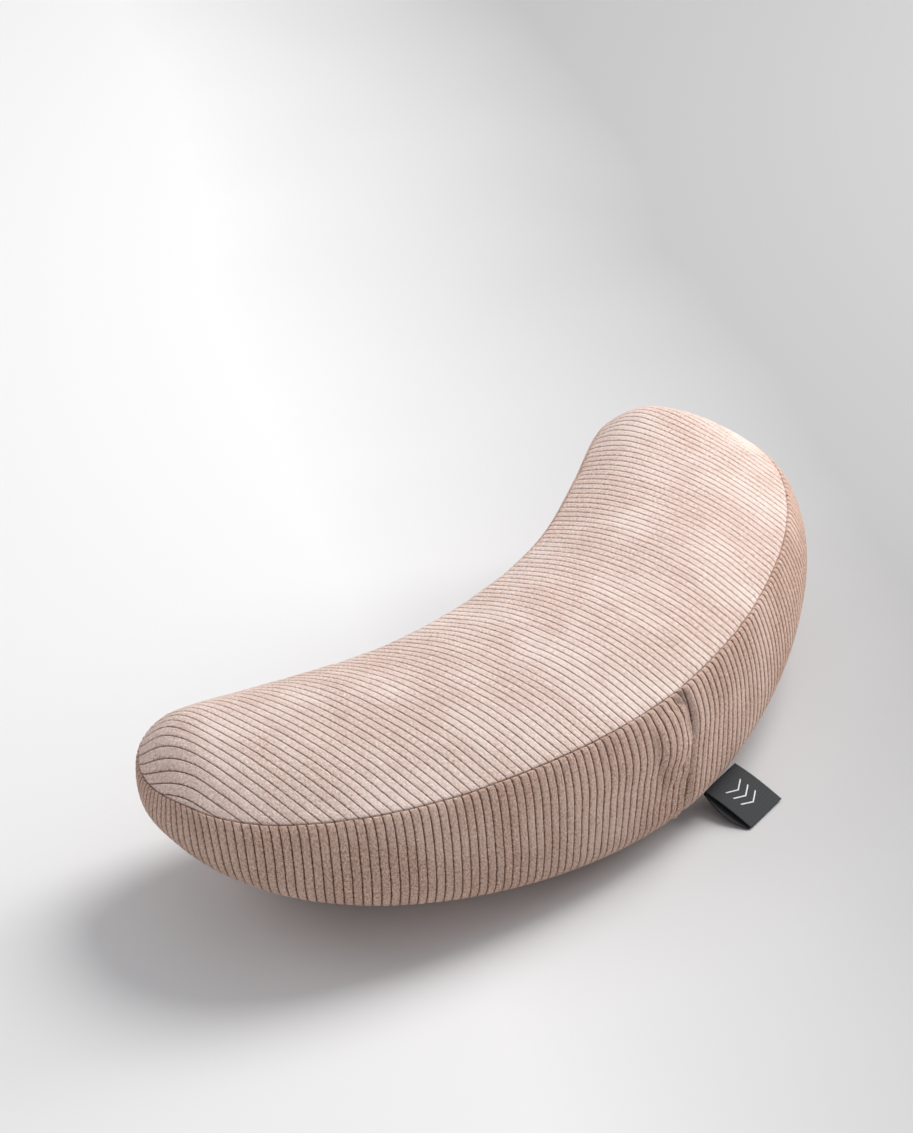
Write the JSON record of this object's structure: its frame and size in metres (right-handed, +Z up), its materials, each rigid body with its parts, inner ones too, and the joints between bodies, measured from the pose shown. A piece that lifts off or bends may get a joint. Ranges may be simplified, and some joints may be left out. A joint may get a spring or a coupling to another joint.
{
  "type": "crescent lumbar cushion",
  "caption": "Crescent-shaped corduroy cushion for the lower back: removable cover with a lapped zip closing, inner cotton case and a loose husk filling.",
  "frame": {"origin": "on the floor, under the middle of the crescent's front-to-back depth and length at the top seam", "axes": "+X along the length, -Y out of the convex side with the zip and the label, +Z up"},
  "size_m": [0.4676, 0.229, 0.1054],
  "materials": {
    "corduroy": "wide-wale cotton corduroy, dusty pink",
    "thread": "matt sewing thread",
    "label": "woven ribbon, charcoal",
    "tape": "woven zip tape",
    "zip_plastic": "moulded, satin",
    "zip_metal": "satin nickel",
    "cotton": "plain-weave unbleached cotton",
    "husk": "loose dry husks"
  },
  "bodies": {
    "cushion": {"cover_top": "corduroy", "cover_bottom": "corduroy", "side_band": "corduroy", "top_seam_thread": "thread", "bottom_seam_thread": "thread", "zip_tape_left": "tape", "zip_tape_right": "tape", "zip_teeth_left": "zip_plastic", "zip_teeth_right": "zip_plastic", "zip_top_stop": "zip_metal", "zip_bottom_stop": "zip_metal", "case_top": "cotton", "case_bottom": "cotton", "case_band": "cotton", "case_zip_tape_left": "tape", "case_zip_tape_right": "tape", "case_zip_teeth_left": "zip_plastic", "case_zip_teeth_right": "zip_plastic", "case_zip_top_stop": "zip_metal", "case_zip_bottom_stop": "zip_metal", "husk_filling": "husk"},
    "flap": {"side_flap": "corduroy"},
    "slider": {"zip_slider": "zip_metal"},
    "puller": {"zip_puller": "zip_metal"},
    "case_slider": {"case_zip_slider": "zip_metal"},
    "case_puller": {"case_zip_puller": "zip_metal"},
    "label": {"woven_label": "label"}
  },
  "joints": [
    {"name": "flap_open", "type": "hinge", "parent": "cushion", "child": "flap", "pos_m": [-0.024, -0.07956, 0.0331], "axis": [0, 0, -1], "range_deg": [0, 50]},
    {"name": "zip_travel", "type": "hinge", "parent": "cushion", "child": "slider", "pos_m": [-0.014, 0.03268, 0.03579], "axis": [1, 0, 0], "range_deg": [0, 18]},
    {"name": "puller_lift", "type": "hinge", "parent": "slider", "child": "puller", "pos_m": [-0.014, -0.07026, 0.07078], "axis": [-1, 0, 0], "range_deg": [0, 8]},
    {"name": "case_zip_travel", "type": "hinge", "parent": "cushion", "child": "case_slider", "pos_m": [-0.014, 0.03268, 0.03579], "axis": [-1, 0, 0], "range_deg": [0, 19]},
    {"name": "case_puller_lift", "type": "hinge", "parent": "case_slider", "child": "case_puller", "pos_m": [-0.014, -0.06995, 0.03142], "axis": [-1, 0, 0], "range_deg": [0, 10]},
    {"name": "label_lift", "type": "hinge", "parent": "cushion", "child": "label", "pos_m": [0.03808, -0.07173, 0.01166], "axis": [-0.9982, -0.0592, 0], "range_deg": [0, 50]}
  ]
}
